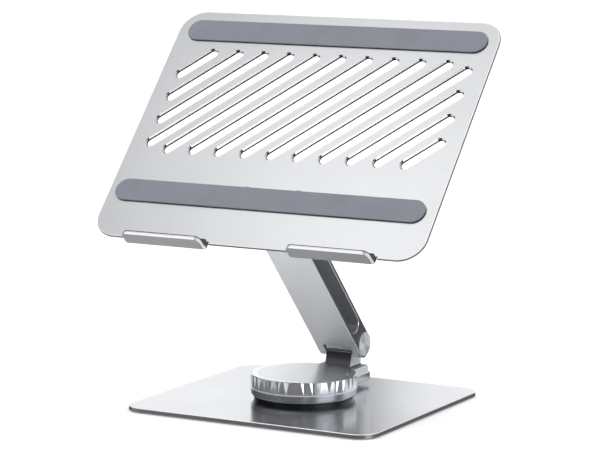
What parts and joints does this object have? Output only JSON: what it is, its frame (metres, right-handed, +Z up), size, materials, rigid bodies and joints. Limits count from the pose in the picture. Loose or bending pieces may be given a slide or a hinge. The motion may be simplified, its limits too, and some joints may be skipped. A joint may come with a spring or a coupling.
{
  "type": "laptop stand",
  "caption": "Folding laptop stand: slotted tray with hooks and pads on a friction-hinged arm, on a ridged turntable over a flat weighted base.",
  "frame": {"origin": "on the turntable's axis, at the level of the desk under the centre foot", "axes": "+X to the user's right, +Y from the user to the rear, +Z up"},
  "size_m": [0.28, 0.1975, 0.2947],
  "materials": {
    "base_steel": "satin, bead blasted",
    "foot_rubber": "matte",
    "hub_steel": "turned",
    "fastener_steel": "machined",
    "glide_plastic": "matte",
    "carrier_aluminium": "satin anodised",
    "ring_aluminium": "bright machined",
    "cover_aluminium": "turned satin",
    "bush_brass": "machined",
    "arm_aluminium": "satin anodised",
    "turned_cap": "radially turned",
    "tray_aluminium": "satin, bead blasted",
    "pad_silicone": "matte silicone",
    "liner_silicone": "matte silicone"
  },
  "bodies": {
    "base": {"base_plate": "base_steel", "foot_front_left": "foot_rubber", "foot_front_right": "foot_rubber", "foot_rear_left": "foot_rubber", "foot_rear_right": "foot_rubber", "foot_centre": "foot_rubber", "pivot_hub": "hub_steel", "hub_screws": "fastener_steel", "lower_glide_washer": "glide_plastic", "upper_glide_washer": "glide_plastic", "retaining_plate": "hub_steel", "retainer_screws": "fastener_steel"},
    "turntable": {"swivel_carrier": "carrier_aluminium", "ridged_ring": "ring_aluminium", "top_cover": "cover_aluminium", "ring_screws": "fastener_steel", "hinge_post": "carrier_aluminium", "post_screws": "fastener_steel", "lower_hinge_bush": "bush_brass"},
    "lift_arm": {"arm": "arm_aluminium", "lower_hinge_pin": "fastener_steel", "lower_hinge_washer_left": "glide_plastic", "lower_hinge_washer_right": "glide_plastic", "lower_disc_springs": "fastener_steel", "lower_hinge_nut": "fastener_steel", "lower_hinge_cap_left": "turned_cap", "lower_hinge_cap_right": "turned_cap", "upper_hinge_pin": "fastener_steel", "upper_hinge_washer_left": "glide_plastic", "upper_hinge_washer_right": "glide_plastic", "upper_disc_springs": "fastener_steel", "upper_hinge_nut": "fastener_steel", "upper_hinge_cap_left": "turned_cap", "upper_hinge_cap_right": "turned_cap"},
    "tray": {"tray_plate": "tray_aluminium", "upper_pad": "pad_silicone", "lower_pad": "pad_silicone", "hook_liner_left": "liner_silicone", "hook_liner_right": "liner_silicone", "tray_bracket": "carrier_aluminium", "bracket_screws": "fastener_steel", "upper_hinge_bush": "bush_brass"}
  },
  "joints": [
    {"name": "turntable_spin", "type": "hinge", "parent": "base", "child": "turntable", "pos_m": [0, 0, 0.01], "axis": [0, 0, 1], "continuous": true},
    {"name": "arm_pitch", "type": "hinge", "parent": "turntable", "child": "lift_arm", "pos_m": [0, 0.0657, 0.0374], "axis": [1, 0, 0], "range_deg": [-43.4, 36.6]},
    {"name": "tray_tilt", "type": "hinge", "parent": "lift_arm", "child": "tray", "pos_m": [0, -0.04492, 0.15438], "axis": [1, 0, 0], "range_deg": [-94.7, 30]}
  ]
}
